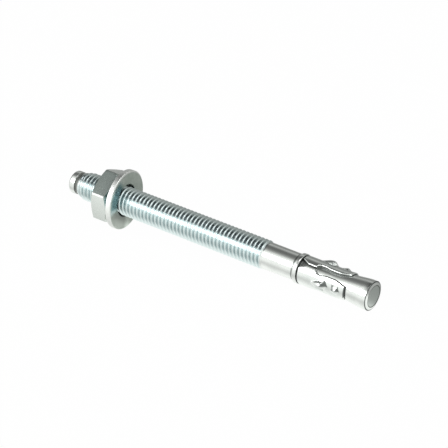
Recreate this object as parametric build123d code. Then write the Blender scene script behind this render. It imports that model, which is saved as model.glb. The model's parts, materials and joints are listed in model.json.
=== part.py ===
from build123d import *
from math import asin, cos, radians, sin, sqrt, tan
import os

# Wedge anchor, M10 x 120, lying on a flat surface. Millimetres.
# Each piece is modelled along +X in the stud's own frame, from the hammered end at x = 0 to the
# dished end at x = stud_length. lie_down() then lays the pieces on the surface together.
# A clock angle turns about the stud's axis, from the top towards -Y.

# ---- anchor stud: dog point, thread, shank, collar, neck and cone, cold-formed as one piece
stud_length = 120.0
thread_diameter = 9.85
dog_diameter = 7.9
dog_length = 2.2
dog_edge = 0.7
groove_diameter = 7.0
groove_length = 1.3
thread_start_diameter = 8.0
thread_start_angle = 16.0
thread_length = 75.5
runout_length = 1.2
shank_diameter = 9.0
collar_diameter = 10.1
collar_width = 1.6
collar_edge = 0.35
neck_diameter = 7.1
neck_length = 11.8
cone_diameter = 9.94
cone_length = 12.2
land_length = 1.9
tip_edge = 0.6
lip_width = 0.4
dish_depth = 0.35
dish_wall = 0.3

# ---- expansion clip: one strip of sheet wrapped round the neck, with three petals
clip_diameter = 9.7
clip_length = 17.7
clip_flare = 0.15
clip_flare_length = 1.8
clip_bore_clearance = 0.06
clip_end_gap = 0.4
clip_cone_clearance = 0.08
petals = 3
seam_clock = 32.4
seam_width = 0.45
notch_width = 3.2
notch_length = 2.7
slot_start = 5.6
slot_nose_length = 1.6
slot_nose_width = 3.2
slot_belly_width = 3.6
slot_belly_place = 9.8
slot_waist_width = 3.1
slot_waist_place = 12.4
slot_mouth_width = 4.5

# ---- barbs pressed outwards in each petal
barb_crest_share = 0.68
barb_shoulder_share = 0.3
barb_shoulder_height_share = 0.62
large_barb_start = 5.3
large_barb_length = 5.9
large_barb_height = 1.2
large_barb_width = 2.6
small_barb_start = 12.9
small_barb_length = 2.8
small_barb_height = 0.55
small_barb_width = 1.9

# ---- hex nut
nut_across_flats = 17.0
nut_height = 6.3
nut_face_share = 0.95
nut_chamfer_angle = 25.0
nut_thread_clearance = 0.06
nut_countersink = 0.8
nut_clock = 6.5
nut_place = 13.8

# ---- flat washer, hanging loose between the stud and the surface
washer_diameter = 20.6
washer_bore = 11.0
washer_thickness = 1.8
washer_edge = 0.2
washer_lift = 0.4
washer_aside = 0.2
washer_lean = 1.0
washer_swing = 4.4
washer_gap = 0.07

# ---- places that follow from the sizes
thread_start = dog_length + groove_length
thread_start_depth = (thread_diameter - thread_start_diameter) / 2
thread_full = thread_start + thread_start_depth / tan(radians(thread_start_angle))
thread_end = thread_start + thread_length
land_start = stud_length - land_length
cone_start = land_start - cone_length
collar_end = cone_start - neck_length
collar_start = collar_end - collar_width
cone_slope = (cone_diameter - neck_diameter) / 2 / cone_length

clip_start = collar_end + clip_end_gap
clip_end = clip_start + clip_length
clip_radius = clip_diameter / 2
clip_bore_radius = neck_diameter / 2 + clip_bore_clearance
clip_bore_widens = cone_start - (clip_cone_clearance - clip_bore_clearance) / cone_slope

nut_inner_face = nut_place + nut_height
nut_face_radius = nut_face_share * nut_across_flats / 2
washer_radius = washer_diameter / 2


def turned(outline):
    """A solid of revolution about the stud's axis, from a face in the x-radius plane."""
    return revolve(outline, Axis.X)


def rounded(face, corners, radius):
    """The face with the vertices nearest to these corners rounded."""
    for corner in corners:
        vertex = face.vertices().sort_by_distance(corner)[0]
        face = fillet(vertex, radius)
    return face


def from_axis(points):
    """A face between the stud's axis and an outline of (x, radius) points."""
    first, last = points[0], points[-1]
    return make_face(Polyline((first[0], 0), *points, (last[0], 0), close=True))


# ---------------------------------------------------------------- anchor stud

def make_anchor_stud():
    """The whole stud, with its thread as a plain cylinder over the crests."""
    dog = dog_diameter / 2
    groove = groove_diameter / 2
    thread = thread_diameter / 2
    shank = shank_diameter / 2
    collar = collar_diameter / 2
    neck = neck_diameter / 2
    tip = cone_diameter / 2
    lip = tip - tip_edge - lip_width
    face = from_axis([
        (0, dog),
        (dog_length, dog),
        (dog_length, groove),
        (thread_start, thread_start_diameter / 2),
        (thread_full, thread),
        (thread_end, thread),
        (thread_end + runout_length, shank),
        (collar_start, shank),
        (collar_start, collar - collar_edge),
        (collar_start + collar_edge, collar),
        (collar_end - collar_edge, collar),
        (collar_end, collar - collar_edge),
        (collar_end, neck),
        (cone_start, neck),
        (land_start, tip),
        (stud_length, tip),
        (stud_length, lip),
        (stud_length - dish_depth, lip - dish_wall),
    ])
    face = rounded(face, [(0, dog)], dog_edge)
    face = rounded(face, [(stud_length, tip)], tip_edge)
    return turned(face)


# ---------------------------------------------------------------- expansion clip

def clip_bore_at(x):
    """Radius of the clip's bore, which widens along the cone from the end of the neck."""
    return clip_bore_radius + max(0, x - clip_bore_widens) * cone_slope


def clip_bore():
    """Everything inside the sheet, run on past both ends of the clip."""
    run_on = 1.0
    start, end = clip_start - run_on, clip_end + run_on
    return turned(from_axis([
        (start, clip_bore_radius),
        (clip_bore_widens, clip_bore_radius),
        (end, clip_bore_at(end)),
    ]))


def barb_punch(start, length, height, width):
    """The form of one barb at the top of the clip, its back rising to a crest near its steep front.

    Across the clip it is a circle through the crest and both of the barb's feet.
    """
    crest = ((width / 2) ** 2 + height**2) / (2 * height)
    sink = clip_radius + height - crest
    foot = clip_radius - sink
    shoulder = foot + barb_shoulder_height_share * (crest - foot)
    return Pos(Z=sink) * turned(from_axis([
        (start, foot),
        (start + barb_shoulder_share * length, shoulder),
        (start + barb_crest_share * length, crest),
        (start + length, foot),
    ]))


def petal_punches():
    """Both barbs of the top petal, each with its punch pushed in by the sheet's thickness there."""
    sizes = [
        (large_barb_start, large_barb_length, large_barb_height, large_barb_width),
        (small_barb_start, small_barb_length, small_barb_height, small_barb_width),
    ]
    for offset, length, height, width in sizes:
        start = clip_start + offset
        punch = barb_punch(start, length, height, width)
        thickness = clip_radius - clip_bore_at(start + length)
        yield punch, Pos(Z=-thickness) * punch


def spread(width):
    """Half-width at unit height above the axis that reaches this width at the clip's outside."""
    return tan(asin(width / 2 / clip_radius))


def radial_cut(outline_at):
    """A cutter through the sheet at the top, with radial walls, from outlines at two heights."""
    low, high = 0.5 * clip_bore_radius, clip_radius + large_barb_height
    faces = [Pos(clip_start, 0, height) * make_face(outline_at(height)) for height in (low, high)]
    return loft(faces, ruled=True)


def slot_outline(height):
    """A petal slot at a height above the axis: round nose, belly, waist and open mouth."""
    run_on = 1.0
    side = [
        (slot_start + slot_nose_length, spread(slot_nose_width) * height),
        (slot_belly_place, spread(slot_belly_width) * height),
        (slot_waist_place, spread(slot_waist_width) * height),
        (clip_length + run_on, spread(slot_mouth_width) * height),
    ]
    other = [(x, -y) for x, y in reversed(side)]
    edge = Spline(*other, (slot_start, 0), *side)
    return [edge, Line(edge @ 1, edge @ 0)]


def seam_outline(height):
    """The sheet's meeting ends at a height above the axis: a V notch, then a narrow gap."""
    run_on = 1.0
    flank = (spread(notch_width) - spread(seam_width)) * height / notch_length
    notch = spread(notch_width) * height + flank * run_on
    gap = spread(seam_width) * height
    reach = slot_start + slot_nose_length / 2
    return Polyline(
        (-run_on, notch),
        (notch_length, gap),
        (reach, gap),
        (reach, -gap),
        (notch_length, -gap),
        (-run_on, -notch),
        close=True,
    )


def make_expansion_clip():
    """The wrapped sheet: its petals stand half-way between the slots, and one slot is the seam's."""
    slot_clocks = [seam_clock + 360 / petals * index for index in range(petals)]
    petal_clocks = [clock + 180 / petals for clock in slot_clocks]
    clip = turned(from_axis([
        (clip_start, clip_radius),
        (clip_end - clip_flare_length, clip_radius),
        (clip_end, clip_radius + clip_flare),
    ]))
    for clock in petal_clocks:
        for punch, dimple in petal_punches():
            clip = clip + Rot(X=clock) * punch
            clip = clip - Rot(X=clock) * dimple
    clip = clip - clip_bore()
    slot = radial_cut(slot_outline)
    for clock in slot_clocks:
        clip = clip - Rot(X=clock) * slot
    return clip - Rot(X=seam_clock) * radial_cut(seam_outline)


# ---------------------------------------------------------------- nut and washer

def make_hex_nut():
    """A hexagon with both faces chamfered to a circle, its bore clear over the thread's crests."""
    corner = nut_across_flats / sqrt(3)
    chamfer = (corner - nut_face_radius) * tan(radians(nut_chamfer_angle))
    bore = thread_diameter / 2 + nut_thread_clearance
    prism = extrude(Plane.YZ * RegularPolygon(corner, 6, rotation=90), nut_height)
    envelope = turned(from_axis([
        (0, nut_face_radius),
        (chamfer, corner),
        (nut_height - chamfer, corner),
        (nut_height, nut_face_radius),
    ]))
    hole = turned(from_axis([
        (0, bore + nut_countersink),
        (nut_countersink, bore),
        (nut_height - nut_countersink, bore),
        (nut_height, bore + nut_countersink),
    ]))
    nut = (Rot(X=nut_clock) * prism & envelope) - hole
    return Pos(X=nut_place) * nut


def make_washer():
    """A stamped ring on the stud, raised and set towards -Y, leaning back and swung away."""
    half = washer_thickness / 2
    ring = turned(make_face(Polyline(
        (-half, washer_bore / 2),
        (-half, washer_radius - washer_edge),
        (washer_edge - half, washer_radius),
        (half - washer_edge, washer_radius),
        (half, washer_radius - washer_edge),
        (half, washer_bore / 2),
        close=True,
    )))
    facing = cos(radians(washer_lean)) * cos(radians(washer_swing))
    dip = (half + nut_face_radius * sqrt(1 - facing**2)) / facing
    middle = Pos(nut_inner_face + washer_gap + dip, -washer_aside, washer_lift)
    return middle * Rot(Y=-washer_lean) * Rot(Z=washer_swing) * ring


# ---------------------------------------------------------------- lying on the surface

def lie_down(pieces):
    """Dips the tip until the dished end and the washer's rim bear alike, then sets them on z = 0."""
    washer, stud = pieces["washer"], pieces["anchor_stud"]
    low, high = 0.0, 10.0
    while high - low > 1e-6:
        angle = (low + high) / 2
        turn = Rot(Y=angle)
        washer_foot = (turn * washer).bounding_box().min.Z
        stud_foot = (turn * stud).bounding_box().min.Z
        if washer_foot < stud_foot:
            low = angle
        else:
            high = angle
    laid = {name: Rot(Y=angle) * piece for name, piece in pieces.items()}
    box = Compound(list(laid.values())).bounding_box()
    shift = Pos(-box.center().X, -box.center().Y, -box.min.Z)
    return {name: shift * piece for name, piece in laid.items()}


upright = {
    "anchor_stud": make_anchor_stud(),
    "expansion_clip": make_expansion_clip(),
    "washer": make_washer(),
    "hex_nut": make_hex_nut(),
}

os.makedirs("parts", exist_ok=True)
for name, piece in lie_down(upright).items():
    export_step(piece, f"parts/{name}.step")
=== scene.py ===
"""A wedge anchor, M10 x 120: threaded stud, hex nut, flat washer and expansion clip in bright zinc.

Every piece is made in the stud's own frame: x runs along the stud from its hammered end, and a
clock angle turns about it from the top towards the front. Sizes of the pieces are in millimetres.
"""

import json
import logging
import math
from dataclasses import dataclass
from enum import Enum
from typing import Any, Iterable, Sequence

import bmesh
import bpy
import numpy as np
from mathutils import Matrix, Vector


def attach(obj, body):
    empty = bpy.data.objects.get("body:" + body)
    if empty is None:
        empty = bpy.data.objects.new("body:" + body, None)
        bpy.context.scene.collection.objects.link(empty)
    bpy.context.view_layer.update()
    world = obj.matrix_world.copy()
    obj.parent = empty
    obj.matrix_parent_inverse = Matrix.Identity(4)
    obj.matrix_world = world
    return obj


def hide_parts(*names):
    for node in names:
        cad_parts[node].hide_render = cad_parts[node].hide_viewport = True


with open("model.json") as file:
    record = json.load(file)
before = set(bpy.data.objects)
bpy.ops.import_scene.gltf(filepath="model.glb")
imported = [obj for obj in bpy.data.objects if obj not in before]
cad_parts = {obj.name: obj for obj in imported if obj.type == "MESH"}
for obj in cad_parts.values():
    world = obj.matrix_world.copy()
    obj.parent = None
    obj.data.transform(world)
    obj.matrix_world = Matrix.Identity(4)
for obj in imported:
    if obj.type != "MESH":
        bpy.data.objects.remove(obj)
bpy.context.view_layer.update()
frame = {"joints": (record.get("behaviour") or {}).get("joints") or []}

log = logging.getLogger("wedge anchor")

MILLIMETRE = 0.001
WELD = 0.0005 * MILLIMETRE
FULL_TURN = 2 * math.pi

# What more than one piece goes by, in millimetres and degrees of the clock.
CREST_RADIUS = 4.925
NUT_PLACE = 13.8
NUT_HEIGHT = 6.3
NUT_FACE_RADIUS = 8.075
SHEET_RADIUS = 4.85
SEAM_CLOCK = 32.4
PETALS = 3


class Piece(Enum):
    """The solids of the anchor that the finished meshes stand for."""

    STUD = "anchor_stud"
    CLIP = "expansion_clip"
    WASHER = "washer"
    NUT = "hex_nut"


class Body(Enum):
    """What moves as one."""

    STUD = "stud"
    CLIP = "clip"
    CARRIAGE = "carriage"
    NUT = "nut"


class Plating(Enum):
    """The finish that each piece is given."""

    STUD = "zinc_stud"
    CLIP = "zinc_clip"
    WASHER = "zinc_washer"
    NUT = "zinc_nut"


class Ray(Enum):
    """The kinds of rays that the table and the room tell apart."""

    CAMERA = "Is Camera Ray"
    MIRRORED = "Is Glossy Ray"
    BENT = "Is Transmission Ray"


# ---------------------------------------------------------------- shader maths

class Wire:
    """A value on its way through a material. Sums on it add Math nodes."""

    def __init__(self, bench: "Bench", socket: bpy.types.NodeSocket) -> None:
        """Keeps the socket and the bench that it is on."""
        self.bench = bench
        self.socket = socket

    def _sum(self, operation: str, *values: Any) -> "Wire":
        """Adds one Math node, whose inputs are numbers or wires in order."""
        return self.bench.node("ShaderNodeMath", {"operation": operation}, dict(enumerate(values)))

    def __add__(self, other: Any) -> "Wire":
        """This and another value together."""
        return self._sum("ADD", self, other)

    def __radd__(self, other: Any) -> "Wire":
        """Another value and this together."""
        return self._sum("ADD", other, self)

    def __sub__(self, other: Any) -> "Wire":
        """This less another value."""
        return self._sum("SUBTRACT", self, other)

    def __rsub__(self, other: Any) -> "Wire":
        """Another value less this."""
        return self._sum("SUBTRACT", other, self)

    def __mul__(self, other: Any) -> "Wire":
        """This times another value."""
        return self._sum("MULTIPLY", self, other)

    def __rmul__(self, other: Any) -> "Wire":
        """Another value times this."""
        return self._sum("MULTIPLY", other, self)

    def __truediv__(self, other: Any) -> "Wire":
        """This divided by another value."""
        return self._sum("DIVIDE", self, other)

    def __rtruediv__(self, other: Any) -> "Wire":
        """Another value divided by this."""
        return self._sum("DIVIDE", other, self)

    def past_whole(self) -> "Wire":
        """What is left of this past its last whole number."""
        return self._sum("FRACT", self)

    def larger(self, other: Any) -> "Wire":
        """The larger of this and another value."""
        return self._sum("MAXIMUM", self, other)

    def ramp(self, low: float, high: float) -> "Wire":
        """Eases from 0 to 1 between two values.

        Args:
            low: where it leaves 0.
            high: where it reaches 1.

        Returns:
            The eased share.
        """
        return self.bench.node(
            "ShaderNodeMapRange",
            {"interpolation_type": "SMOOTHSTEP"},
            {"Value": self, "From Min": low, "From Max": high},
        )


class Bench:
    """The nodes of one material or world."""

    def __init__(self, tree: bpy.types.NodeTree) -> None:
        """Takes the tree to work on and clears it."""
        self.tree = tree
        tree.nodes.clear()

    def node(
        self,
        kind: str,
        settings: dict[str, Any] | None = None,
        inputs: dict[int | str, Any] | None = None,
        output: int | str = 0,
    ) -> Wire:
        """Adds one node.

        Args:
            kind: the node's type.
            settings: its own settings, which are set first. Stops are a ramp's colours by place.
            inputs: values or wires for its sockets, by name or place.
            output: the socket that is handed on.

        Returns:
            A wire from that output.
        """
        made = self.tree.nodes.new(kind)
        for name, value in (settings or {}).items():
            if name == "stops":
                self._set_stops(made.color_ramp.elements, value)
            else:
                setattr(made, name, value)
        for name, value in (inputs or {}).items():
            socket = made.inputs[name]
            if isinstance(value, Wire):
                self.tree.links.new(value.socket, socket)
            else:
                socket.default_value = value
        if len(made.outputs) == 0:
            return Wire(self, made.inputs[0])
        return Wire(self, made.outputs[output])

    def _set_stops(self, elements: Any, stops: Sequence[tuple[float, Sequence[float]]]) -> None:
        """Gives a ramp its stops.

        Args:
            elements: the ramp's own stops, of which there are two.
            stops: place and colour of each, from the lowest up.
        """
        elements.remove(elements[1])
        elements[0].position = stops[0][0]
        elements[0].color = (*stops[0][1], 1)
        for place, colour in stops[1:]:
            elements.new(place).color = (*colour, 1)

    def bands(self, value: Any, bands: Sequence[tuple[float, Sequence[float]]]) -> Wire:
        """Looks a colour up in soft bands.

        Args:
            value: what the bands are laid along.
            bands: where each colour stands and the colour, from the lowest up.

        Returns:
            The colour at the value.
        """
        low, high = bands[0][0], bands[-1][0]
        stops = [((place - low) / (high - low), colour) for place, colour in bands]
        share = self.node("ShaderNodeMapRange", {}, {"Value": value, "From Min": low, "From Max": high})
        return self.node("ShaderNodeValToRGB", {"stops": stops}, {0: share})

    def colours(self, share: Any, first: Any, second: Any) -> Wire:
        """Mixes two colours or wires by the share of the second."""
        inputs = {0: share, 6: first, 7: second}
        return self.node("ShaderNodeMix", {"data_type": "RGBA"}, inputs, output=2)

    def rays(self, kind: Ray) -> Wire:
        """A mask of the rays of one kind."""
        return self.node("ShaderNodeLightPath", output=kind.value)

    def speckle(self, size: float, detail: float, stretch: Sequence[float] = (1, 1, 1)) -> Wire:
        """Soft noise over the piece.

        Args:
            size: width of a patch in millimetres.
            detail: octaves of finer noise.
            stretch: how much longer a patch is along x, y and z.

        Returns:
            A value about one half.
        """
        place = self.node("ShaderNodeTexCoord", output="Object")
        scale = [1 / MILLIMETRE / size / share for share in stretch]
        spread = self.node("ShaderNodeMapping", {}, {"Vector": place, "Scale": scale})
        return self.node(
            "ShaderNodeTexNoise",
            {"noise_dimensions": "3D"},
            {"Vector": spread, "Scale": 1.0, "Detail": detail, "Roughness": 0.55},
        )


class PlaceOnStud:
    """Where a spot of the surface lies: along the stud, off its axis and round it."""

    def __init__(self, bench: Bench, axis: "StudAxis") -> None:
        """Measures the spot in the stud's own frame, in millimetres and degrees.

        Args:
            bench: where the material is made.
            axis: where the stud lies.
        """
        spot = bench.node("ShaderNodeTexCoord", output="Object")
        offset = bench.node("ShaderNodeVectorMath", {"operation": "SUBTRACT"}, {0: spot, 1: axis.start})
        self.along = self._share(bench, offset, axis.along)
        side = self._share(bench, offset, axis.side)
        up = self._share(bench, offset, axis.up)
        square = side * side + up * up
        self.radius = bench.node("ShaderNodeMath", {"operation": "SQRT"}, {0: square})
        turn = bench.node("ShaderNodeMath", {"operation": "ARCTAN2"}, {0: side * -1, 1: up})
        self.clock = turn * math.degrees(1)

    def _share(self, bench: Bench, offset: Wire, way: Vector) -> Wire:
        """How far the spot is off in one direction."""
        inputs = {0: offset, 1: way / MILLIMETRE}
        return bench.node("ShaderNodeVectorMath", {"operation": "DOT_PRODUCT"}, inputs, output="Value")

    def petal_clock(self) -> Wire:
        """The angle from the middle of the nearest petal of the clip, in degrees."""
        width = 360 / PETALS
        return ((self.clock - SEAM_CLOCK + 360) / width).past_whole() * width - width / 2


@dataclass(frozen=True)
class TintOrPaintedLight:
    """A part of a piece whose colour is set apart from the rest: mostly painted shade, painted
    highlights and painted reflections, and once the thread's bluer zinc.
    """

    colour: tuple[float, float, float]
    roughness: float
    along: tuple[float, float] | None = None
    radius: tuple[float, float] | None = None
    clock: tuple[float, float] | None = None
    blend: float = 0.1
    strength: float = 1.0
    degrees_per_millimetre: float = 12.0

    def mask(self, spot: PlaceOnStud) -> Wire | float:
        """Finds the part.

        Args:
            spot: where a spot of the surface lies.

        Returns:
            A value that is the tint's strength on the part and 0 off it.
        """
        share = self.strength
        for reach, value, blend in (
            (self.along, spot.along, self.blend),
            (self.radius, spot.radius, self.blend),
            (self.clock, spot.clock, self.degrees_per_millimetre * self.blend),
        ):
            if reach:
                low, high = (value.ramp(edge - blend, edge + blend) for edge in reach)
                share = (low - high) * share
        return share


@dataclass(frozen=True)
class PaintedPetalShade:
    """A patch of painted shade on every petal, by its corners along the stud and round from the petal's
    middle.
    """

    corners: tuple[tuple[float, float], ...]
    colour: tuple[float, float, float] = (0.16, 0.17, 0.165)
    roughness: float = 0.4
    blend: float = 0.15
    strength: float = 1.0

    def mask(self, spot: PlaceOnStud) -> Wire:
        """Finds the mark.

        Args:
            spot: where a spot of the surface lies.

        Returns:
            A value that is the mark's strength in it and 0 off it.
        """
        round_it = spot.petal_clock() * math.radians(SHEET_RADIUS)
        points = [(x, math.radians(clock) * SHEET_RADIUS) for x, clock in self.corners]
        share = self.strength
        for (x0, y0), (x1, y1) in zip(points, points[1:] + points[:1]):
            size = math.hypot(x1 - x0, y1 - y0)
            across = (round_it - y0) * ((x1 - x0) / size) - (spot.along - x0) * ((y1 - y0) / size)
            share = across.ramp(-self.blend, self.blend) * share
        return share


@dataclass(frozen=True)
class ZincFinish:
    """Bright zinc plate on steel, with its cloudy patches, drawing lines and fine grain, and the painted
    shade, highlights and reflections laid over it by place.
    """

    plating: Plating
    colour: tuple[float, float, float]
    clouded: tuple[float, float, float]
    roughness: float
    roughness_spread: float
    patch: float
    grain: float
    grain_depth: float
    lines: tuple[float, float, float]
    lines_depth: float
    tints_and_painted_light: tuple[TintOrPaintedLight | PaintedPetalShade, ...] = ()
    cloud_edges: tuple[float, float] = (0.32, 0.68)
    least_roughness: float = 0.06

    def material(self, axis: "StudAxis") -> bpy.types.Material:
        """Makes the plating, with its painted shade and highlights.

        Args:
            axis: where the stud lies.

        Returns:
            A metal whose colour, polish and surface vary a little from place to place.
        """
        made = bpy.data.materials.new(self.plating.value)
        made.use_nodes = True
        bench = Bench(made.node_tree)
        clouds = bench.speckle(self.patch, detail=3.0).ramp(*self.cloud_edges)
        drawn = bench.speckle(self.grain, detail=2.0, stretch=self.lines)
        grains = bench.speckle(self.grain, detail=4.0)
        colour = bench.colours(clouds, (*self.colour, 1), (*self.clouded, 1))
        polish = (drawn - 0.5) * self.roughness_spread + (clouds - 0.5) * self.roughness_spread
        polish = polish + self.roughness
        spot = PlaceOnStud(bench, axis)
        # Painted shade, painted highlights and painted reflections, and the thread's bluer zinc, are
        # laid over the colour here.
        for tint in self.tints_and_painted_light:
            there = tint.mask(spot)
            colour = bench.colours(there, colour, (*tint.colour, 1))
            polish = polish + there * (tint.roughness - self.roughness)
        relief = grains * self.grain_depth + drawn * self.lines_depth
        inputs = {"Strength": 1.0, "Distance": MILLIMETRE, "Height": relief}
        bumped = bench.node("ShaderNodeBump", {}, inputs)
        metal = bench.node("ShaderNodeBsdfPrincipled", {}, {
            "Base Color": colour,
            "Metallic": 1.0,
            "Roughness": polish.larger(self.least_roughness),
            "Normal": bumped,
        })
        bench.node("ShaderNodeOutputMaterial", {}, {"Surface": metal})
        made.diffuse_color = (*self.colour, 1)
        return made


STUD_ZINC = ZincFinish(
    Plating.STUD, colour=(0.93, 0.945, 0.935), clouded=(0.84, 0.86, 0.85),
    roughness=0.16, roughness_spread=0.08, patch=4.0,
    grain=0.25, grain_depth=0.004, lines=(6, 1, 1), lines_depth=0.004,
    tints_and_painted_light=(
        # The whole thread is bluer than the shank.
        TintOrPaintedLight((0.8, 0.893, 0.908), 0.2, along=(4.4, 80.0), blend=0.25),
        # Its roots carry painted shade: most of all on top at the front, and less at the front and the
        # back.
        TintOrPaintedLight(
            (0.24, 0.28, 0.3), 0.3, along=(4.6, 80.6), radius=(3.0, 4.62), clock=(5.0, 43.0),
            blend=0.25, strength=0.8,
        ),
        TintOrPaintedLight(
            (0.49, 0.56, 0.57), 0.3, along=(5.2, 80.2), radius=(3.0, 4.5), clock=(43.0, 170.0),
            blend=0.25, strength=0.62,
        ),
        TintOrPaintedLight(
            (0.42, 0.46, 0.45), 0.3, along=(4.6, 80.6), radius=(3.0, 4.8), clock=(-120.0, 5.0),
            blend=0.25, strength=0.5,
        ),
        # Painted shade in the groove behind the dog point, at the foot of the collar and on the neck
        # beside it.
        TintOrPaintedLight((0.22, 0.23, 0.22), 0.45, along=(2.82, 4.4), radius=(2.0, 4.06), blend=0.06),
        TintOrPaintedLight((0.3, 0.32, 0.31), 0.3, along=(91.9, 92.55), radius=(4.0, 4.8)),
        TintOrPaintedLight(
            (0.17, 0.18, 0.175), 0.5, along=(94.0, 97.8), radius=(3.0, 4.9),
            blend=0.06, strength=0.9,
        ),
        # Painted shade in the line round the tip, a darker, duller face, and painted shade on the face's
        # outline.
        TintOrPaintedLight((0.15, 0.16, 0.155), 0.4, along=(120.06, 121.5), radius=(4.6, 5.1), blend=0.04),
        TintOrPaintedLight((0.66, 0.7, 0.68), 0.34, along=(120.2, 121.5), radius=(-1.0, 3.6), blend=0.08),
        TintOrPaintedLight((0.18, 0.19, 0.18), 0.4, along=(120.2, 121.5), radius=(3.48, 3.76), blend=0.06),
        # A painted shadow of the front petal's end on the cone just past it, at the front only.
        TintOrPaintedLight(
            (0.16, 0.17, 0.165), 0.4, along=(112.0, 112.75), clock=(60.0, 106.0),
            blend=0.08, strength=0.7,
        ),
    ),
)

NUT_ZINC = ZincFinish(
    Plating.NUT, colour=(0.74, 0.79, 0.76), clouded=(0.64, 0.69, 0.66),
    roughness=0.3, roughness_spread=0.12, patch=2.0,
    grain=0.2, grain_depth=0.02, lines=(3, 1, 1), lines_depth=0.012,
    tints_and_painted_light=(
        # Painted light by side: painted shade on the upper front flat, painted light on the lower one
        # and the top one, and a painted highlight along the corner between the first two.
        TintOrPaintedLight((0.3, 0.345, 0.335), 0.32, radius=(8.1, 12.0), clock=(6.5, 66.5), blend=0.15, strength=0.8),
        TintOrPaintedLight((0.9, 0.93, 0.91), 0.26, radius=(8.1, 12.0), clock=(66.5, 126.5), blend=0.15, strength=0.8),
        TintOrPaintedLight((0.95, 0.97, 0.96), 0.4, radius=(8.1, 12.0), clock=(-53.5, 6.5), blend=0.15, strength=0.9),
        TintOrPaintedLight((0.98, 0.99, 0.98), 0.4, radius=(9.6, 12.0), clock=(58.0, 75.0), blend=0.08, strength=0.9),
    ),
)

WASHER_ZINC = ZincFinish(
    Plating.WASHER, colour=(0.7, 0.765, 0.712), clouded=(0.6, 0.665, 0.612),
    roughness=0.38, roughness_spread=0.12, patch=3.0,
    grain=0.18, grain_depth=0.02, lines=(1, 1, 4), lines_depth=0.01,
    tints_and_painted_light=(
        # Painted reflections: a teal arc at the front, painted shade in a duller one below it, and a
        # painted highlight in the light streak between them.
        TintOrPaintedLight(
            (0.25, 0.41, 0.44), 0.28, radius=(4.0, 9.4), clock=(24.0, 96.0),
            blend=0.7, strength=0.92,
        ),
        TintOrPaintedLight(
            (0.36, 0.39, 0.365), 0.38, radius=(4.0, 10.1), clock=(98.0, 175.0),
            blend=0.9, strength=0.82,
        ),
        TintOrPaintedLight(
            (0.78, 0.92, 0.93), 0.3, radius=(5.8, 9.8), clock=(90.0, 99.0),
            blend=0.4, strength=0.8,
        ),
        # Painted shade on the wall of the bore and a painted highlight on the rim.
        TintOrPaintedLight((0.1, 0.11, 0.11), 0.5, radius=(4.0, 5.6), blend=0.06, strength=0.95),
        TintOrPaintedLight((0.97, 0.98, 0.97), 0.4, radius=(10.0, 11.0)),
    ),
)

CLIP_ZINC = ZincFinish(
    Plating.CLIP, colour=(0.93, 0.95, 0.94), clouded=(0.84, 0.87, 0.86),
    roughness=0.16, roughness_spread=0.08, patch=2.5,
    grain=0.2, grain_depth=0.006, lines=(1, 4, 4), lines_depth=0.006,
    tints_and_painted_light=(
        # Painted shade on the inside and the cut edges of the sheet, and on the end of the front petal
        # only.
        TintOrPaintedLight((0.18, 0.19, 0.185), 0.5, radius=(2.0, 4.6), blend=0.05),
        TintOrPaintedLight(
            (0.16, 0.17, 0.165), 0.4, along=(111.98, 113.0), clock=(57.0, 109.0),
            blend=0.08, strength=0.9,
        ),
        # Painted shade on every petal, standing in for the shadowed mouths that the closed barbs lack:
        # over the flank of the large barb, at its mouth, on the bar between the barbs and at the small
        # one's mouth.
        PaintedPetalShade(
            ((101.6, 6.0), (104.6, 6.0), (104.6, 26.0), (101.6, 22.0)),
            colour=(0.4, 0.43, 0.42), strength=0.6,
        ),
        PaintedPetalShade(((104.99, -28.3), (106.32, -3.2), (103.68, -2.3))),
        PaintedPetalShade(((107.49, -20.6), (108.34, -20.9), (108.5, 1.2), (107.67, 1.9)), strength=0.8),
        PaintedPetalShade(((109.83, -22.3), (110.69, -1.2), (109.19, -2.2))),
    ),
)


# ---------------------------------------------------------------- meshes

@dataclass(frozen=True)
class StudAxis:
    """Where the stud lies: its hammered end, the way to its cone, and the two ways across it.

    A point in its frame has x along the stud, y to the far side and z up from it, in a last axis.
    """

    start: Vector
    along: Vector
    side: Vector
    up: Vector

    @classmethod
    def from_joint(cls, joint: dict[str, Any], joint_place: float) -> "StudAxis":
        """Reads the axis from a joint on it.

        Args:
            joint: a hinge about the stud's own axis.
            joint_place: how far along the stud it stands, in millimetres.

        Returns:
            The stud's frame.
        """
        along = Vector(joint["axis"]).normalized()
        side = Vector((0, 1, 0))
        up = along.cross(side)
        start = Vector(joint["pos_m"]) - along * joint_place * MILLIMETRE
        return cls(start, along, side, up)

    def place(self, points: np.ndarray) -> np.ndarray:
        """Takes points in the stud's frame, in millimetres, to where they lie in metres."""
        ways = np.array([self.along, self.side, self.up])
        return np.array(self.start) + points @ ways * MILLIMETRE


def turned(x: np.ndarray, radius: np.ndarray, clock: np.ndarray) -> np.ndarray:
    """Points in the stud's frame, by place along it, distance from its axis and clock in radians."""
    x, radius, clock = np.broadcast_arrays(x, radius, clock)
    return np.stack([x, -radius * np.sin(clock), radius * np.cos(clock)], axis=-1)


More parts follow.
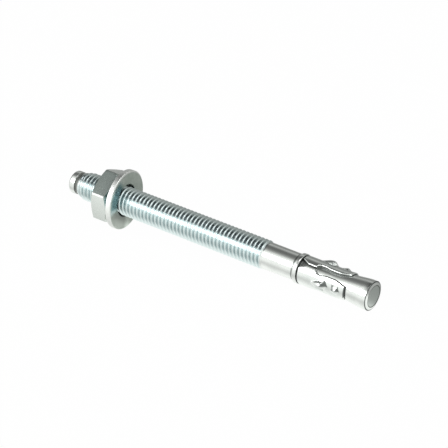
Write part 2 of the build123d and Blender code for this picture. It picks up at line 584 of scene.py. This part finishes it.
def eased(corners: Iterable[tuple[Any, Any, float]], steps: int = 4) -> tuple[np.ndarray, np.ndarray]:
    """Rounds the corners of an outline.

    Args:
        corners: place along the stud, radius, and how far from it each corner starts to round.
            Place and radius may be arrays, one value for each column of the mesh.
        steps: faces round each corner.

    Returns:
        Place and radius of each row, the rows in the first axis.
    """
    corners = list(corners)
    width = max(np.size(value) for corner in corners for value in corner[:2])
    points = np.array([
        [np.broadcast_to(x, width), np.broadcast_to(radius, width)] for x, radius, _ in corners
    ], dtype=float)
    rows = []
    for index, (_, _, ease) in enumerate(corners):
        corner = points[index]
        if ease == 0 or index in (0, len(corners) - 1):
            rows.append(corner)
            continue
        before = points[index - 1] - corner
        after = points[index + 1] - corner
        before = before / np.maximum(np.hypot(*before), 1e-9)
        after = after / np.maximum(np.hypot(*after), 1e-9)
        for share in np.linspace(0, 1, steps + 1):
            rows.append(corner + ease * ((1 - share) ** 2 * before + share**2 * after))
    rows = np.array(rows)
    return rows[:, 0], rows[:, 1]


def add_object(name: str, data: bpy.types.ID) -> bpy.types.Object:
    """Adds an object to the scene.

    Args:
        name: what it is called.
        data: its mesh, lamp or camera.

    Returns:
        The object, at the origin.
    """
    made = bpy.data.objects.new(name, data)
    bpy.context.scene.collection.objects.link(made)
    return made


class Skin:
    """A mesh that is sewn together from sheets of points."""

    def __init__(self) -> None:
        """Starts with no points."""
        self.points: list[np.ndarray] = []
        self.faces: list[np.ndarray] = []
        self.count = 0

    def sheet(self, points: np.ndarray, closed: bool = False, lead: int = 0) -> None:
        """Adds rows and columns of points and the faces between them.

        Args:
            points: rows, columns and the three values of each point.
            closed: whether the last column meets the first.
            lead: how many rows further on it meets it, as a thread does.
        """
        rows, columns = points.shape[:2]
        index = np.arange(rows * columns).reshape(rows, columns) + self.count
        if closed:
            met = np.minimum(np.arange(rows) + lead, rows - 1)
            index = np.concatenate([index, index[met, :1]], axis=1)
        self.faces.append(np.stack([
            index[:-1, :-1], index[1:, :-1], index[1:, 1:], index[:-1, 1:],
        ], axis=-1).reshape(-1, 4))
        self.points.append(points.reshape(-1, 3))
        self.count += rows * columns

    def piece(self, name: str, axis: StudAxis, sharp: float) -> bpy.types.Object:
        """Sews the sheets into one object.

        Args:
            name: what the piece is called.
            axis: where the stud lies.
            sharp: the angle in degrees over which an edge stays crisp.

        Returns:
            The object, in its place.
        """
        mesh = bpy.data.meshes.new(name)
        places = axis.place(np.concatenate(self.points))
        mesh.from_pydata(places.tolist(), [], np.concatenate(self.faces).tolist())
        work = bmesh.new()
        work.from_mesh(mesh)
        bmesh.ops.remove_doubles(work, verts=work.verts, dist=WELD)
        bmesh.ops.dissolve_degenerate(work, edges=work.edges, dist=WELD)
        bmesh.ops.recalc_face_normals(work, faces=work.faces)
        if work.calc_volume(signed=True) < 0:
            bmesh.ops.reverse_faces(work, faces=work.faces)
        work.to_mesh(mesh)
        work.free()
        mesh.shade_smooth()
        mesh.set_sharp_from_angle(angle=math.radians(sharp))
        return add_object(name, mesh)


def finish_piece(
    piece: bpy.types.Object,
    finish: ZincFinish,
    solid: Piece,
    body: Body,
    axis: StudAxis,
) -> None:
    """Plates a piece and puts it in the place of its solid.

    Args:
        piece: the finished mesh.
        finish: its plating.
        solid: the solid that it stands for.
        body: what it moves with.
        axis: where the stud lies.
    """
    piece.data.materials.append(finish.material(axis))
    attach(piece, body.value)
    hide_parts(solid.value)


@dataclass(frozen=True)
class ThreadForm:
    """A rolled right-hand thread, as the stations of one turn from crest to crest."""

    pitch: float = 1.5
    depth: float = 0.92
    stations: tuple[tuple[float, float], ...] = (
        (0.0, 0.0), (0.05, 0.02), (0.1, 0.08), (0.15, 0.18), (0.2, 0.31), (0.28, 0.56), (0.36, 0.82),
        (0.43, 0.97), (0.57, 0.97), (0.64, 0.82), (0.72, 0.56), (0.8, 0.31), (0.85, 0.18), (0.9, 0.08),
        (0.95, 0.02),
    )

    def rows(self, start: float, end: float, clock: np.ndarray) -> np.ndarray:
        """Rows that wind along the thread and stop at its two ends.

        Args:
            start: where the thread starts.
            end: where it ends.
            clock: angle of each column, rising through one turn.

        Returns:
            The place along the stud of each point, in rows and columns.
        """
        first = math.floor(start / self.pitch - 1 - clock[0] / FULL_TURN)
        last = math.ceil(end / self.pitch - clock[0] / FULL_TURN)
        turns = np.arange(first, last)[:, None] + np.array([phase for phase, _ in self.stations])
        winding = turns.reshape(-1, 1) + clock / FULL_TURN
        return np.clip(winding * self.pitch, start, end)

    def sunk(self, x: np.ndarray, clock: np.ndarray) -> np.ndarray:
        """How deep the groove is at a place.

        Args:
            x: place along the stud.
            clock: angle round it.

        Returns:
            The depth, from 0 on the crest to 1 at the root.
        """
        phase = x / self.pitch - clock / FULL_TURN
        phases, shares = zip(*self.stations)
        return np.interp(phase, phases, shares, period=1)

    @property
    def lead(self) -> int:
        """Rows in one turn."""
        return len(self.stations)


# ---------------------------------------------------------------- the four pieces

@dataclass(frozen=True)
class ThreadedStud:
    """One cold-formed stud: dog point, thread, shank, collar, neck, cone and slightly dished end.

    A slope is how far a step leans along the stud between its foot and its top.
    """

    finish: ZincFinish = STUD_ZINC
    thread: ThreadForm = ThreadForm()
    columns: int = 96
    length: float = 120.55
    crest_radius: float = CREST_RADIUS
    dog_radius: float = 3.95
    dog_face: float = 0.4
    dog_length: float = 2.8
    dog_edge: float = 0.5
    dog_slope: float = 0.02
    groove_radius: float = 3.5
    thread_start: float = 4.4
    thread_start_radius: float = 4.12
    groove_entry: float = 0.15
    thread_full: float = 6.73
    thread_end: float = 79.6
    groove_fade: float = 0.5
    runout_end: float = 80.7
    shank_radius: float = 4.5
    collar_start: float = 92.5
    collar_end: float = 94.1
    collar_radius: float = 5.05
    collar_slope: float = 0.1
    collar_edge: float = 0.35
    neck_radius: float = 3.55
    cone_start: float = 105.9
    land_start: float = 118.1
    tip_radius: float = 4.97
    tip_edge: float = 120.1
    tip_slope: float = 0.06
    tip_step: float = 0.2
    face_radius: float = 3.75
    face_lip: float = 0.08
    dish_depth: float = 0.08
    dish_wall: float = 0.12

    def build(self, axis: StudAxis) -> bpy.types.Object:
        """Makes the stud.

        Args:
            axis: where it lies.

        Returns:
            The finished piece.
        """
        clock = np.linspace(0, FULL_TURN, self.columns, endpoint=False)
        skin = Skin()
        skin.sheet(turned(*self._dog_point(), clock), closed=True)
        x = self.thread.rows(self.thread_start, self.runout_end, clock)
        skin.sheet(turned(x, self._thread_radius(x, clock), clock), closed=True, lead=self.thread.lead)
        skin.sheet(turned(*self._shank_to_tip(), clock), closed=True)
        piece = skin.piece("threaded_stud", axis, sharp=38)
        finish_piece(piece, self.finish, Piece.STUD, Body.STUD, axis)
        return piece

    def _dog_point(self) -> tuple[np.ndarray, np.ndarray]:
        """The hammered end, as far as the first thread.

        Returns:
            Place and radius of each row.
        """
        return eased([
            (self.dog_face, 0, 0),
            (self.dog_face, self.dog_radius - self.dog_edge, 0.2),
            (self.dog_face + self.dog_edge, self.dog_radius, 0.3),
            (self.dog_length, self.dog_radius, 0.12),
            (self.dog_length + self.dog_slope, self.groove_radius, 0.1),
            (self.thread_start, self.thread_start_radius, 0),
        ])

    def _thread_radius(self, x: np.ndarray, clock: np.ndarray) -> np.ndarray:
        """Radius over the thread, its pointed start and its run-out.

        Args:
            x: place along the stud.
            clock: angle round it.

        Returns:
            The radius at each point.
        """
        root = self.crest_radius - self.thread.depth
        crest = np.interp(
            x,
            (self.thread_start, self.thread_full, self.thread_end, self.runout_end),
            (self.thread_start_radius, self.crest_radius, self.crest_radius, self.shank_radius),
        )
        deep_from = self.thread_start + self.groove_entry
        deep_to = self.thread_end - self.groove_fade
        floor = np.interp(
            x,
            (self.thread_start, deep_from, deep_to, self.runout_end),
            (self.thread_start_radius, root, root, self.shank_radius),
        )
        return crest - self.thread.sunk(x, clock) * np.maximum(crest - floor, 0)

    def _shank_to_tip(self) -> tuple[np.ndarray, np.ndarray]:
        """The plain shank, collar, neck, cone, land and dished end.

        Returns:
            Place and radius of each row.
        """
        dish = self.length - self.dish_depth
        return eased([
            (self.runout_end, self.shank_radius, 0),
            (self.collar_start, self.shank_radius, 0.2),
            (self.collar_start + self.collar_slope, self.collar_radius, self.collar_edge),
            (self.collar_end, self.collar_radius, self.collar_edge),
            (self.collar_end, self.neck_radius, 0.25),
            (self.cone_start, self.neck_radius, 0.6),
            (self.land_start, self.tip_radius, 0.8),
            (self.tip_edge, self.tip_radius, 0.08),
            (self.tip_edge + self.tip_slope, self.tip_radius - self.tip_step, 0.03),
            (self.length, self.face_radius + self.face_lip, 0.12),
            (self.length, self.face_radius, 0.03),
            (dish, self.face_radius - self.dish_wall, 0.03),
            (dish, 0, 0),
        ], steps=6)


@dataclass(frozen=True)
class HexNut:
    """A hexagon nut, both faces chamfered, its thread in step with the stud's."""

    finish: ZincFinish = NUT_ZINC
    thread: ThreadForm = ThreadForm()
    place: float = NUT_PLACE
    height: float = NUT_HEIGHT
    apothem: float = 8.5
    corner_ease: float = 0.5
    face_radius: float = NUT_FACE_RADIUS
    face_ease: float = 0.15
    chamfer_angle: float = 25.0
    chamfer_ease: float = 0.1
    clock: float = 6.5
    crest_radius: float = CREST_RADIUS
    clearance: float = 0.06
    thread_play: float = 0.02
    countersink: float = 0.8
    flat_columns: int = 14
    corner_columns: int = 6

    def build(self, axis: StudAxis) -> bpy.types.Object:
        """Makes the nut.

        Args:
            axis: where the stud lies.

        Returns:
            The finished piece.
        """
        clock, side = self._hexagon()
        skin = Skin()
        skin.sheet(turned(*self._outside(side), clock), closed=True)
        end = self.place + self.height
        x = self.thread.rows(self.place, end, clock)
        depth = np.minimum(x - self.place, end - x)
        bore = self.crest_radius + self.clearance
        cut = self.thread.sunk(x, clock) * (self.thread.depth - self.thread_play)
        thread = bore + self.thread_play - cut
        radius = np.maximum(thread, bore + self.countersink - depth)
        skin.sheet(turned(x, radius, clock), closed=True, lead=self.thread.lead)
        piece = skin.piece("hexagon_nut", axis, sharp=38)
        finish_piece(piece, self.finish, Piece.NUT, Body.NUT, axis)
        return piece

    def _hexagon(self) -> tuple[np.ndarray, np.ndarray]:
        """The hexagon with its six corners rounded.

        Returns:
            The clock angle of each column and the radius there.
        """
        sixth = math.radians(60)
        centre = (self.apothem - self.corner_ease) / math.cos(sixth / 2)
        meets = math.atan2(centre * math.sin(sixth / 2), self.apothem)
        across = np.linspace(-meets, meets, self.flat_columns)
        round_it = np.linspace(meets, sixth - meets, self.corner_columns + 2)[1:-1]
        off = round_it - sixth / 2
        flat = self.apothem / np.cos(across)
        corner = centre * np.cos(off) + np.sqrt(self.corner_ease**2 - (centre * np.sin(off)) ** 2)
        angles = np.concatenate([across, round_it])
        radii = np.concatenate([flat, corner])
        start = math.radians(self.clock) + sixth / 2
        clock = np.concatenate([start + angles + sixth * count for count in range(6)])
        return clock, np.tile(radii, 6)

    def _outside(self, side: np.ndarray) -> tuple[np.ndarray, np.ndarray]:
        """Both faces, their chamfers and the six flats.

        Args:
            side: the hexagon's radius at each column.

        Returns:
            Place and radius of each row.
        """
        chamfer = (side - self.face_radius) * math.tan(math.radians(self.chamfer_angle))
        mouth = self.crest_radius + self.clearance + self.countersink
        end = self.place + self.height
        return eased([
            (self.place, mouth, 0),
            (self.place, self.face_radius, self.face_ease),
            (self.place + chamfer, side, self.chamfer_ease),
            (end - chamfer, side, self.chamfer_ease),
            (end, self.face_radius, self.face_ease),
            (end, mouth, 0),
        ], steps=3)


@dataclass(frozen=True)
class FlatWasher:
    """A stamped washer that hangs loose on the thread, rolled over on one side."""

    finish: ZincFinish = WASHER_ZINC
    columns: int = 160
    radius: float = 10.3
    bore: float = 5.5
    thickness: float = 1.8
    rolled_edge: float = 0.35
    sheared_edge: float = 0.14
    lift: float = 0.4
    aside: float = 0.2
    lean: float = 1.0
    swing: float = 4.4
    gap: float = 0.07
    nut_end: float = NUT_PLACE + NUT_HEIGHT
    nut_face_radius: float = NUT_FACE_RADIUS

    def build(self, axis: StudAxis) -> bpy.types.Object:
        """Makes the washer.

        Args:
            axis: where the stud lies.

        Returns:
            The finished piece.
        """
        half = self.thickness / 2
        outline = eased([
            (-half, self.bore, 0),
            (-half, self.radius, self.sheared_edge),
            (half, self.radius, self.rolled_edge),
            (half, self.bore, self.rolled_edge),
            (-half, self.bore, 0),
        ])
        clock = np.linspace(0, FULL_TURN, self.columns, endpoint=False)
        skin = Skin()
        skin.sheet(self._hung(turned(*outline, clock)), closed=True)
        piece = skin.piece("flat_washer", axis, sharp=50)
        finish_piece(piece, self.finish, Piece.WASHER, Body.CARRIAGE, axis)
        return piece

    def _hung(self, ring: np.ndarray) -> np.ndarray:
        """Hangs the ring on the thread as it lies against the nut.

        Args:
            ring: its points about the stud's axis, its middle at 0.

        Returns:
            The same points, leaning, swung and raised.
        """
        lean, swing = math.radians(self.lean), math.radians(self.swing)
        facing = math.cos(lean) * math.cos(swing)
        reach = self.thickness / 2 + self.nut_face_radius * math.sqrt(1 - facing**2)
        middle = (self.nut_end + self.gap + reach / facing, -self.aside, self.lift)
        turn = Matrix.Rotation(-lean, 3, "Y") @ Matrix.Rotation(swing, 3, "Z")
        return ring @ np.array(turn).T + np.array(middle)


@dataclass(frozen=True)
class Barb:
    """One barb pressed outwards in each petal: its place in the clip and its size."""

    start: float
    length: float
    height: float
    width: float
    crown: tuple[tuple[float, float], ...] = (
        (0.0, 0.0), (0.1, 0.2), (0.25, 0.52), (0.4, 0.8), (0.55, 0.96), (0.66, 1.0),
        (0.76, 0.9), (0.88, 0.45), (1.0, 0.0),
    )
    falls_off: float = 3.0

    def reach(self, x: np.ndarray, off: np.ndarray, base: float) -> np.ndarray:
        """How far the barb's round form stands from the stud's axis.

        Args:
            x: place along the clip.
            off: angle from the middle of the petal.
            base: the clip's own radius.

        Returns:
            The distance from the axis; well inside the clip where the barb has none.
        """
        crest = ((self.width / 2) ** 2 + self.height**2) / (2 * self.height)
        sink = base + self.height - crest
        foot = base - sink
        shares, heights = zip(*self.crown)
        form = foot + (crest - foot) * np.interp((x - self.start) / self.length, shares, heights)
        aside = sink * np.abs(np.sin(off))
        above = np.sqrt(np.maximum(form**2 - aside**2, 0))
        beyond = self.falls_off * np.maximum(aside - form, 0)
        inside = (x < self.start) | (x > self.start + self.length)
        return np.where(inside, 0, sink * np.cos(off) + above - beyond)


@dataclass(frozen=True)
class ExpansionClip:
    """The sheet wrapped round the neck: a notched seam, three slots and two barbs in each petal."""

    finish: ZincFinish = CLIP_ZINC
    joint: str = "clip_turn"
    barbs: tuple[Barb, ...] = (
        Barb(start=5.3, length=5.9, height=1.2, width=2.6),
        Barb(start=12.9, length=2.8, height=0.55, width=1.9),
    )
    pressed_through: float = 0.85
    press_ease: float = 0.3
    start: float = 94.5
    length: float = 17.7
    radius: float = SHEET_RADIUS
    flare: float = 0.15
    flare_length: float = 1.8
    bore: float = 3.61
    bore_widens: float = 11.2
    cone_slope: float = 0.1164
    petals: int = PETALS
    seam_clock: float = SEAM_CLOCK
    seam_width: float = 0.45
    notch_width: float = 3.2
    notch_length: float = 2.7
    slot_start: float = 5.6
    nose_length: float = 1.6
    nose_width: float = 3.2
    slot_edge: tuple[tuple[float, float], ...] = ((8.2, 3.3), (10.8, 2.5), (13.4, 2.5), (17.8, 4.3))
    sheet_edge: float = 0.05
    sheet_edge_angle: float = 55.0
    rounding: float = 0.4
    rounding_share: float = 0.97
    end_steepness: float = 1.8
    rolled_width: float = 0.45
    rolled_slope: float = 0.5
    edge_rows: int = 8
    notch_rows: int = 10
    whole_rows: int = 18
    nose_rows: int = 12
    petal_rows: int = 84
    columns: int = 65
    bunching: float = 0.85

    def axis(self) -> StudAxis:
        """Finds the stud's axis from the joint that the clip turns on."""
        joint = next(joint for joint in frame["joints"] if joint["name"] == self.joint)
        return StudAxis.from_joint(joint, self.start + self.length / 2)

    def build(self, axis: StudAxis) -> bpy.types.Object:
        """Makes the clip.

        Args:
            axis: where the stud lies.

        Returns:
            The finished piece.
        """
        x = self._rows()
        skin = Skin()
        for petal in range(self.petals):
            self._sew_petal(skin, petal, x)
        piece = skin.piece("wrapped_clip", axis, sharp=40)
        edges = piece.modifiers.new("sheet_edge", "BEVEL")
        edges.width = self.sheet_edge * MILLIMETRE
        edges.segments = 2
        edges.limit_method = "ANGLE"
        edges.angle_limit = math.radians(self.sheet_edge_angle)
        edges.use_clamp_overlap = True
        finish_piece(piece, self.finish, Piece.CLIP, Body.CLIP, axis)
        return piece

    def _rows(self) -> np.ndarray:
        """Spaces the rows, closest together at both ends and at the round nose of the slots.

        Returns:
            The place of each row along the clip.
        """
        turn = np.linspace(0, math.pi / 2, self.nose_rows)
        nose = self.slot_start + self.nose_length * (1 - np.cos(turn))
        before = [np.linspace(*stretch)[:-1] for stretch in (
            (0, self.rounding, self.edge_rows),
            (self.rounding, self.notch_length, self.notch_rows),
            (self.notch_length, self.slot_start, self.whole_rows),
        )]
        last = self.length - self.rounding
        after = [np.linspace(*stretch)[1:] for stretch in (
            (nose[-1], last, self.petal_rows),
            (last, self.length, self.edge_rows),
        )]
        return np.concatenate([*before, nose, *after])

    def _slot(self, x: np.ndarray) -> np.ndarray:
        """Half the angle that a slot takes out.

        Args:
            x: place along the clip.

        Returns:
            The angle in radians, 0 before the slot starts.
        """
        nose_end = self.slot_start + self.nose_length
        back = np.clip((nose_end - x) / self.nose_length, 0, 1)
        nose = self.nose_width / 2 * np.sqrt(1 - back**2)
        places, widths = zip((nose_end, self.nose_width), *self.slot_edge)
        stage = np.interp(x, places, range(len(places)))
        share = stage - np.floor(stage)
        smooth = np.floor(stage) + share**2 * (3 - 2 * share)
        wave = np.interp(smooth, range(len(places)), widths) / 2
        half = np.where(x > nose_end, wave, nose)
        return np.arcsin(half / self.radius)

    def _seam(self, x: np.ndarray) -> np.ndarray:
        """Half the angle between the sheet's ends: a V notch, a narrow gap, then the slot."""
        notch = np.interp(x, (0, self.notch_length), (self.notch_width, self.seam_width)) / 2
        return np.maximum(np.arcsin(notch / self.radius), self._slot(x))

    def _sew_petal(self, skin: Skin, petal: int, x: np.ndarray) -> None:
        """Adds one third of the clip.

        Args:
            skin: what it is sewn to.
            petal: which of them, counted from the seam.
            x: place of each row along the clip.
        """
        third = FULL_TURN / self.petals
        middle = math.radians(self.seam_clock) + third * (petal + 0.5)
        at_seam = (petal == 0, petal == self.petals - 1)
        low, high = (
            third / 2 - (self._seam(x) if seam else self._slot(x))[:, None] for seam in at_seam
        )
        even = np.linspace(0, 1, self.columns)
        share = even - self.bunching * np.sin(FULL_TURN * even) / FULL_TURN
        off = -low + (low + high) * share
        place = x[:, None]
        outside = self._outside(place, off) - self._dropped(place, off + low, high - off, at_seam)
        outer = turned(place + self.start, outside, middle + off)
        inner = turned(place + self.start, self._inside(place, off), middle + off)
        skin.sheet(outer)
        skin.sheet(inner)
        for end in (0, -1):
            skin.sheet(np.stack([outer[end], inner[end]]))
        nose = int(np.searchsorted(x, self.slot_start))
        for side, seam in zip((0, -1), at_seam):
            first = 0 if seam else nose
            skin.sheet(np.stack([outer[first:, side], inner[first:, side]], axis=1))

    def _dropped(
        self,
        x: np.ndarray,
        past_low: np.ndarray,
        to_high: np.ndarray,
        at_seam: tuple[bool, bool],
    ) -> np.ndarray:
        """How far the outside falls away at a petal's ends and at its open sides.

        Args:
            x: place along the clip.
            past_low: angle from the petal's low side.
            to_high: angle to its high side.
            at_seam: whether its low and its high side are at the seam, and so open all along.

        Returns:
            The drop, 0 away from the edges and where petals are joined.
        """
        opened = np.clip((x - self.slot_start) / self.rounding, 0, 1)
        low_open, high_open = (1 if seam else opened for seam in at_seam)
        rolled = self.rolled_slope * np.clip(self.rolled_width - past_low * self.radius, 0, None)
        rounded = self._rounded_off(to_high * self.radius)
        ends = self._rounded_off(self.end_steepness * np.minimum(x, self.length - x))
        return np.maximum(np.maximum(rounded * high_open, rolled * low_open), ends)

    def _rounded_off(self, inwards: np.ndarray) -> np.ndarray:
        """How far the sheet's rounded edge falls away, by the distance in from it."""
        left = self.rounding - np.clip(inwards, 0, self.rounding)
        return self.rounding - np.sqrt(self.rounding**2 - self.rounding_share * left**2)

    def _pressed(self, x: np.ndarray, off: np.ndarray) -> np.ndarray:
        """How far the barbs push the sheet out.

        Args:
            x: place along the clip.
            off: angle from the middle of the petal.

        Returns:
            The rise over the plain sheet, eased into it.
        """
        rise = np.zeros(np.broadcast(x, off).shape)
        for barb in self.barbs:
            over = barb.reach(x, off, self.radius) - self.radius
            rise = np.maximum(rise, (over + np.sqrt(over**2 + self.press_ease**2)) / 2)
        return rise

    def _outside(self, x: np.ndarray, off: np.ndarray) -> np.ndarray:
        """Radius of the clip's outside, with its flare and barbs."""
        flare = np.clip((x - self.length + self.flare_length) / self.flare_length, 0, 1)
        return self.radius + self.flare * flare + self._pressed(x, off)

    def _inside(self, x: np.ndarray, off: np.ndarray) -> np.ndarray:
        """Radius of the clip's inside, which opens along the cone and follows the barbs."""
        cone = np.maximum(x - self.bore_widens, 0) * self.cone_slope
        return self.bore + cone + self.pressed_through * self._pressed(x, off)


# ---------------------------------------------------------------- studio

@dataclass(frozen=True)
class Camera:
    """The camera, as it stands in the stud's own frame."""

    focal_length: float = 170.52
    sensor: float = 36.0
    place: tuple[float, float, float] = (401.955, -500.635, 341.229)
    right: tuple[float, float, float] = (0.813877, 0.579566, 0.041323)
    down: tuple[float, float, float] = (0.311267, -0.374843, -0.873273)

    def build(self, axis: StudAxis) -> bpy.types.Object:
        """Sets the camera up.

        Args:
            axis: where the stud lies.

        Returns:
            The camera.
        """
        ways = Matrix((axis.along, axis.side, axis.up)).transposed()
        right = (ways @ Vector(self.right)).normalized()
        up = -(ways @ Vector(self.down)).normalized()
        back = right.cross(up).normalized()
        stand = axis.start + ways @ Vector(self.place) * MILLIMETRE
        data = bpy.data.cameras.new("camera")
        data.lens = self.focal_length
        data.sensor_width = self.sensor
        data.clip_start = 0.01
        data.clip_end = 50
        made = add_object("camera", data)
        made.matrix_world = Matrix.Translation(stand) @ Matrix((right, up, back)).transposed().to_4x4()
        bpy.context.scene.camera = made
        return made


@dataclass(frozen=True)
class SoftLamp:
    """A square soft lamp, aimed at the anchor."""

    name: str
    place: tuple[float, float, float]
    size: float
    power: float
    colour: tuple[float, float, float] = (1, 1, 1)

    def build(self) -> bpy.types.Object:
        """Hangs the lamp.

        Returns:
            The lamp.
        """
        data = bpy.data.lights.new(self.name, "AREA")
        data.size = self.size
        data.energy = self.power
        data.color = self.colour
        made = add_object(self.name, data)
        made.location = self.place
        made.rotation_euler = (-Vector(self.place)).to_track_quat("-Z", "Y").to_euler()
        return made


def grey(level: float) -> tuple[float, float, float]:
    """A grey with the faint green of the room in it."""
    return (0.975 * level, level, 0.965 * level)


@dataclass(frozen=True)
class Studio:
    """A white table in a white room that is dark overhead and grey behind.

    The room's tones stand by how far a direction points to the back. The table's tones, which only the
    metal sees, paint the anchor's shadow on it by how far back a place on it is, in millimetres.
    """

    table_size: float = 3.0
    table_colour: tuple[float, float, float] = (0.9, 0.9, 0.9)
    clean_share: float = 0.985
    left_tones: tuple[tuple[float, float], ...] = (
        (-1.0, 1.0), (-0.42, 1.0), (-0.3, 0.8), (-0.12, 0.36), (0.08, 0.19), (0.34, 0.14),
        (0.46, 0.17), (0.6, 0.34), (0.7, 0.48), (0.77, 0.36), (0.84, 0.24), (1.0, 0.34),
    )
    right_tones: tuple[tuple[float, float], ...] = (
        (-1.0, 1.0), (0.3, 1.0), (0.47, 0.95), (0.6, 0.75), (0.72, 0.5), (1.0, 0.42),
    )
    right_from: float = -0.1
    right_full: float = 0.35
    overhead_tone: float = 0.035
    overhead_from: float = 0.64
    overhead_full: float = 0.84
    overhead_left: tuple[float, float] = (-0.45, -0.25)
    overhead_right: tuple[float, float] = (0.2, 0.4)
    # Painted shadow of the anchor on the table, seen in reflections: a darker band just in front and
    # darker behind.
    table_shadow_tones: tuple[tuple[float, float], ...] = (
        (-60.0, 1.0), (-30.0, 0.97), (-17.0, 0.8), (-10.5, 0.68), (-7.0, 0.8), (-4.0, 1.0),
        (0.5, 1.0), (4.5, 0.46), (14.0, 0.35), (60.0, 0.4),
    )
    room_strength: float = 1.0
    lamps: tuple[SoftLamp, ...] = (
        SoftLamp("front_lamp", (-0.5, -0.9, 0.55), 0.6, 4.0),
        SoftLamp("top_lamp", (0.2, -0.1, 1.1), 0.5, 2.0),
    )

    def build(self) -> None:
        """Sets up the table, the room and the lamps."""
        self._table()
        self._room()
        for lamp in self.lamps:
            lamp.build()

    def _table(self) -> None:
        """Lays the table: white to the camera, and to the metal with the anchor's shadow painted on it
        in soft tones.
        """
        half = self.table_size / 2
        mesh = bpy.data.meshes.new("table")
        corners = [(-half, -half, 0), (half, -half, 0), (half, half, 0), (-half, half, 0)]
        mesh.from_pydata(corners, [], [(0, 1, 2, 3)])
        table = add_object("table", mesh)
        made = bpy.data.materials.new("white_table")
        made.use_nodes = True
        bench = Bench(made.node_tree)
        seen = bench.rays(Ray.CAMERA)
        mirrored = bench.rays(Ray.MIRRORED).larger(bench.rays(Ray.BENT))
        place = bench.node("ShaderNodeTexCoord", output="Object")
        back = bench.node("ShaderNodeSeparateXYZ", {}, {0: place}, output="Y")
        # The painted shadow on the table, which only reflections see.
        tones = bench.bands(back, [(at * MILLIMETRE, grey(level)) for at, level in self.table_shadow_tones])
        tone = bench.colours(seen, tones, (1, 1, 1, 1))
        paper = bench.node("ShaderNodeBsdfDiffuse", {}, {"Color": (*self.table_colour, 1)})
        white = bench.node("ShaderNodeEmission", {}, {"Color": tone, "Strength": 1.0})
        share = seen * self.clean_share + mirrored
        lit = bench.node("ShaderNodeMixShader", {}, {0: share, 1: paper, 2: white})
        bench.node("ShaderNodeOutputMaterial", {}, {"Surface": lit})
        mesh.materials.append(made)

    def _room(self) -> None:
        """Makes the room: white to the camera, and in soft tones to the metal."""
        world = bpy.data.worlds.new("studio")
        world.use_nodes = True
        bpy.context.scene.world = world
        bench = Bench(world.node_tree)
        seen = bench.rays(Ray.CAMERA)
        ways = bench.node("ShaderNodeTexCoord", output="Generated")
        right = bench.node("ShaderNodeSeparateXYZ", {}, {0: ways}, output="X")
        back = bench.node("ShaderNodeSeparateXYZ", {}, {0: ways}, output="Y")
        left_room = bench.bands(back, [(at, grey(level)) for at, level in self.left_tones])
        right_room = bench.bands(back, [(at, grey(level)) for at, level in self.right_tones])
        room = bench.colours(right.ramp(self.right_from, self.right_full), left_room, right_room)
        high = bench.node("ShaderNodeSeparateXYZ", {}, {0: ways}, output="Z")
        overhead = high.ramp(self.overhead_from, self.overhead_full)
        overhead = overhead * (1 - right.ramp(*self.overhead_right)) * right.ramp(*self.overhead_left)
        room = bench.colours(overhead, room, (*grey(self.overhead_tone), 1))
        lit = bench.node("ShaderNodeBackground", {}, {"Color": room, "Strength": self.room_strength})
        white = bench.node("ShaderNodeBackground", {}, {"Color": (1, 1, 1, 1), "Strength": 1.0})
        shown = bench.node("ShaderNodeMixShader", {}, {0: seen, 1: lit, 2: white})
        bench.node("ShaderNodeOutputWorld", {}, {"Surface": shown})


# ---------------------------------------------------------------- the anchor


def main() -> None:
    """Builds the anchor's four pieces, then the studio and the camera."""
    logging.basicConfig(level=logging.INFO)
    clip = ExpansionClip()
    axis = clip.axis()
    for piece in (ThreadedStud(), HexNut(), FlatWasher(), clip):
        made = piece.build(axis)
        log.info("%s: %d faces", made.name, len(made.data.polygons))
    Studio().build()
    Camera().build(axis)
    bpy.context.scene.view_settings.view_transform = "Standard"


if __name__ == "__main__":
    main()
